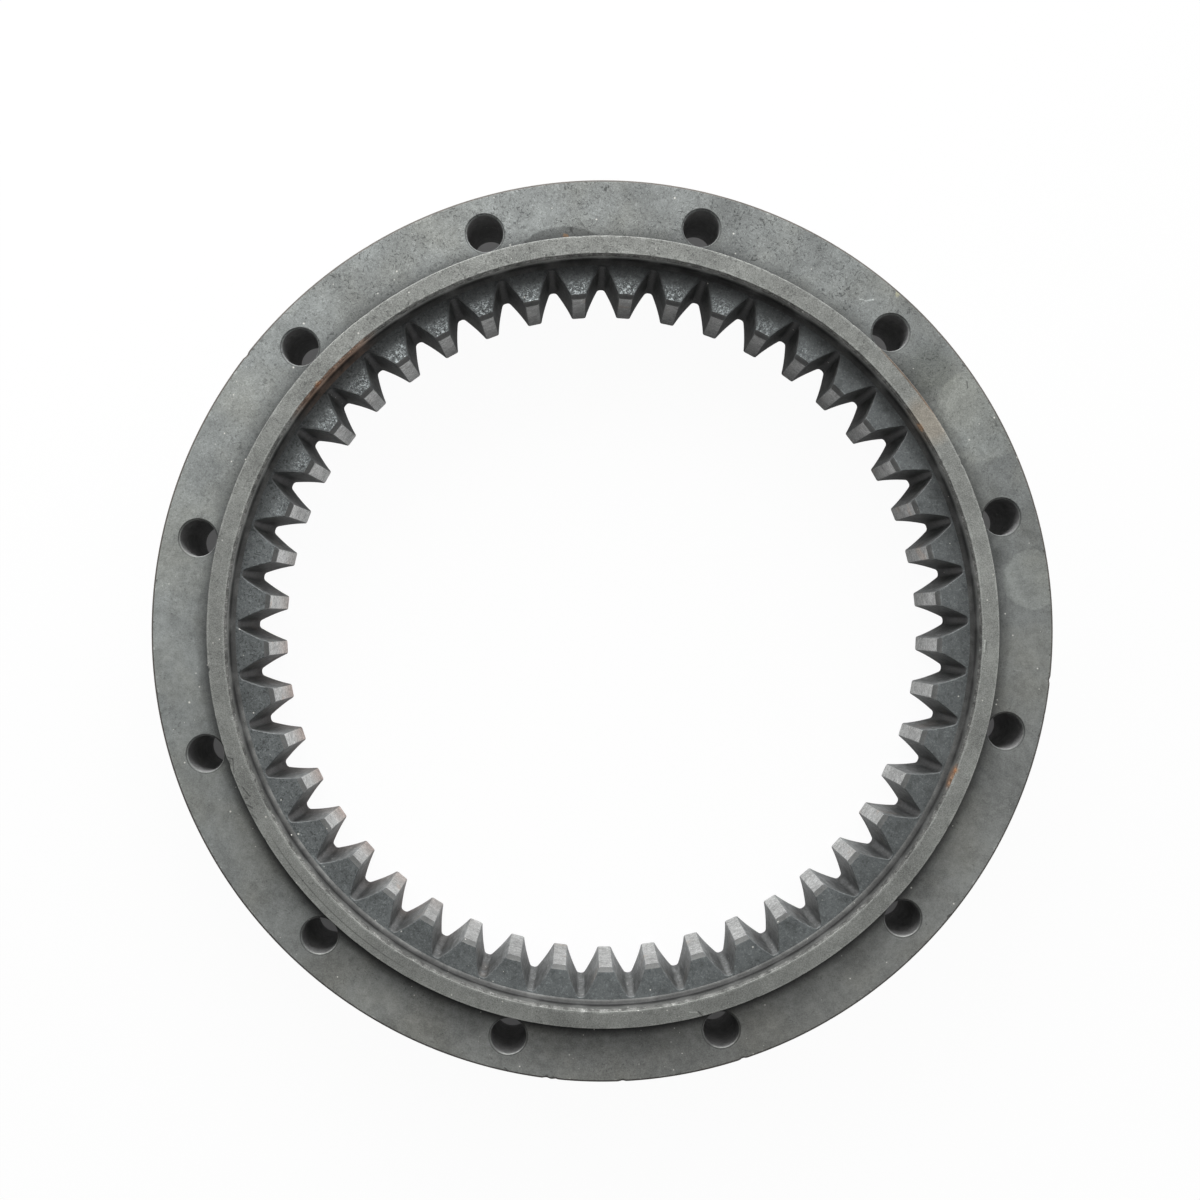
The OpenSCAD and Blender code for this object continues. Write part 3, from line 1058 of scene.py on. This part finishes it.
def steel_materials():
    """One material for each zone, by its number."""
    flange = [tide_marks_and_side_shade, scabs_and_top_light, foot_band_and_shadow, stains(FLANGE_STAINS, FLANGE_Z), scratches(60, 1.25, 0.6)]
    flange += [chipped_edge, hole_edges_and_highlight, cuts(FLANGE_CUTS, FLANGE_Z)]
    rim = [worn_rim_and_side_light, scratches(25, 1.3), scratches(110, 1.35)]
    rim += [stains(RIM_STAINS, TOP_Z), cuts(RIM_CUTS, TOP_Z)]
    mouth = [rough_mouth_and_shade, stains(MOUTH_STAINS, TOP_Z)]
    recess = [shaded_recess_wall, stains(MOUTH_STAINS, TOP_Z)]
    face = [face_spots_and_painted_light, worn_crease]
    flank = [streaked_flank_and_painted_light, rusty_ends]
    tip_cut = [worn_crease, shaded_cut]
    land = [mottled_land_and_side_light, rusty_ends]
    made = {
        FLANGE: steel("flange_steel", (0.183, 0.195, 0.19), 0.0, 0.6, flange),
        RIM: steel("rim_steel", (0.228, 0.235, 0.221), 0.36, 0.5, rim, contrast=1.15, fineness=0.5),
        MOUTH: steel("mouth_steel", (0.222, 0.224, 0.214), 0.77, 0.5, mouth, relief=2.0),
        RECESS: steel("recess_steel", (0.108, 0.11, 0.106), 0.0, 0.55, recess),
        FACE: steel("tooth_face_steel", (0.108, 0.118, 0.119), 0.0, 0.5, face),
        FLANK: steel("tooth_flank_steel", (0.078, 0.081, 0.081), 0.0, 0.5, flank, relief=3.0),
        TIP_CUT: steel("tip_cut_steel", (0.116, 0.119, 0.116), 0.0, 0.5, tip_cut),
        LAND: steel("tooth_land_steel", (0.56, 0.565, 0.56), 1.0, 0.5, land, relief=2.0),
        HOLE: steel("hole_steel", (0.22, 0.22, 0.22), 0.3, 0.5, [lit_hole_walls], relief=2.0),
        SIDE: steel("side_steel", (0.11, 0.11, 0.106), 0.0, 0.55, [dark_edge]),
        BACK: steel("back_steel", (0.18, 0.185, 0.18), 0.1, 0.55),
        WORN: steel("worn_edge_steel", (0.2, 0.2, 0.195), 0.3, 0.45),
    }
    return [made[zone] for zone in range(ZONE_COUNT)]


# The photograph's camera, as its place and tilt over the middle of the flange face
CAMERA_TILT = (0.0307552, 0.0148236)
CAMERA_OFFSET = Vector((1.5667, 11.6159, -578.475)) * MM
FOCAL_LENGTH = 44.757
SENSOR = 36.0
SHIFT = (-0.00014, 0.0543)


def make_camera():
    data = bpy.data.cameras.new("photo_camera")
    data.sensor_width = SENSOR
    data.lens = FOCAL_LENGTH
    data.shift_x, data.shift_y = SHIFT
    data.clip_start, data.clip_end = 0.01, 20.0
    camera = add_object("photo_camera", data)
    tilt = Matrix.Rotation(CAMERA_TILT[0], 3, "X") @ Matrix.Rotation(CAMERA_TILT[1], 3, "Y")
    place = -(tilt.transposed() @ CAMERA_OFFSET)
    camera.matrix_world = (Matrix.Rotation(TURN, 3, "Z") @ tilt.transposed()).to_4x4()
    camera.location = from_photo(*place) + Vector((0, 0, FLANGE_Z * MM))
    bpy.context.scene.camera = camera


def area_lamp(name, place, size, power):
    """A square lamp that points at the middle of the back face."""
    data = bpy.data.lights.new(name, "AREA")
    data.size = size
    data.energy = power
    lamp = add_object(name, data)
    lamp.location = from_photo(*place)
    lamp.rotation_mode = "QUATERNION"
    lamp.rotation_quaternion = lamp.location.to_track_quat("Z", "Y")


# The studio's soft light: an even part, and wide soft boxes over the photograph's upper and right
# sides, each by its heading (0 right, 90 up in the photograph), rise in degrees and strength
EVEN_LIGHT = 0.112
SOFT_BOXES = ((0, 20, 0.92), (60, 20, 2.4), (120, 20, 1.896), (60, 50, 0.872))
SOFT_BOX_FOCUS = 9.0
# How bright the backdrop over the floor is in reflections. The camera sees it white
BACKDROP_REFLECTED = 0.8


def reflected_rays(tree, path):
    """1 for rays that come by way of metal or glass."""
    return calculate(tree, "MAXIMUM", path["Is Glossy Ray"], path["Is Transmission Ray"])


def make_lights():
    area_lamp("key", (0.0, 0.9, 0.45), 0.5, 6.2)
    area_lamp("side", (-0.3, 0.5, 0.35), 0.3, 1.6)
    world = bpy.data.worlds.new("studio")
    bpy.context.scene.world = world
    world.use_nodes = True
    tree = world.node_tree
    tree.nodes.clear()
    way = add_node(tree, "ShaderNodeTexCoord").outputs["Generated"]
    terms = []
    for heading, rise, strength in SOFT_BOXES:
        across, up = polar(1.0, math.radians(rise))
        middle = from_photo(*polar(across, math.radians(heading)), up)
        facing = vector(tree, "DOT_PRODUCT", way, middle)
        terms.append((soft_lobe(tree, facing, SOFT_BOX_FOCUS), strength))
    light = calculate(tree, "ADD", weighted_sum(tree, terms), EVEN_LIGHT)
    path = add_node(tree, "ShaderNodeLightPath").outputs
    near_floor = spread(tree, parts_of(tree, way)[2], 0.3, 0.1)
    backdrop = product(tree, near_floor, reflected_rays(tree, path), BACKDROP_REFLECTED)
    strength = calculate(tree, "MAXIMUM", light, backdrop)
    strength = add_node(tree, "ShaderNodeMix", {0: path["Is Camera Ray"], 2: strength, 3: 1.0}).outputs[0]
    background = add_node(tree, "ShaderNodeBackground", {"Color": (1, 1, 1, 1), "Strength": strength})
    add_node(tree, "ShaderNodeOutputWorld", {"Surface": background.outputs[0]})


def soft_lobe(tree, cosine, focus):
    """A soft round light: 1 at its middle, and less the further a direction is from it."""
    below = calculate(tree, "SUBTRACT", cosine, 1.0)
    return calculate(tree, "EXPONENT", product(tree, below, focus))


# How much plain white the floor shows to the camera and in reflections. The rest is its lit surface.
# Under the flange it shows less white and a darker grey, a painted shade that is deepest toward heading 270
FLOOR_WHITE = 0.96
FLOOR_WHITE_REFLECTED = 0.15
FLOOR_WHITE_UNDER = (0.05, 0.09)
FLOOR_SIZE = 6.0
FLOOR_GAP = 0.0001
FLOOR_GREY = (0.8, 0.8, 0.8)
SHADED_GREY = (0.42, 0.41, 0.44)


def floor_material():
    material, tree = empty_material("studio_floor")
    path = add_node(tree, "ShaderNodeLightPath").outputs
    place = add_node(tree, "ShaderNodeTexCoord").outputs["Object"]
    radius = radius_of(tree, place)
    past_teeth = calculate(tree, "GREATER_THAN", radius, ROOT_R + 1)
    under = calculate(tree, "MULTIPLY", past_teeth, calculate(tree, "LESS_THAN", radius, OUTER_R - 1))
    # Painted shade: the floor under the flange is a darker grey
    colour = mix_colour(tree, under, FLOOR_GREY, SHADED_GREY)
    lit = add_node(tree, "ShaderNodeBsdfDiffuse", {"Color": colour})
    white = add_node(tree, "ShaderNodeEmission", {"Color": (1, 1, 1, 1), "Strength": 1.0})
    seen = weighted_sum(
        tree, ((path["Is Camera Ray"], FLOOR_WHITE), (reflected_rays(tree, path), FLOOR_WHITE_REFLECTED))
    )
    # Painted shade: less white under the flange, least toward heading 270
    dim = spread(tree, toward(tree, place, 90, -160, 160), 0.0, 1.0, *FLOOR_WHITE_UNDER)
    share = add_node(tree, "ShaderNodeMix", {0: under, 2: seen, 3: dim}).outputs[0]
    mixed = add_node(tree, "ShaderNodeMixShader", {0: share, 1: lit.outputs[0], 2: white.outputs[0]})
    add_node(tree, "ShaderNodeOutputMaterial", {"Surface": mixed.outputs[0]})
    return material


def make_floor():
    half = FLOOR_SIZE / 2
    mesh = bpy.data.meshes.new("floor")
    corners = [(-half, -half, 0), (half, -half, 0), (half, half, 0), (-half, half, 0)]
    mesh.from_pydata(corners, [], [(0, 1, 2, 3)])
    mesh.materials.append(floor_material())
    floor = add_object("floor", mesh)
    floor.location.z = -FLOOR_GAP


make_camera()
make_lights()
make_floor()

ring = make_piece("ring_gear_worn", ring_surface(), steel_materials())
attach(ring, "root")
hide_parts("ring_gear")

bpy.context.scene.view_settings.view_transform = "Standard"
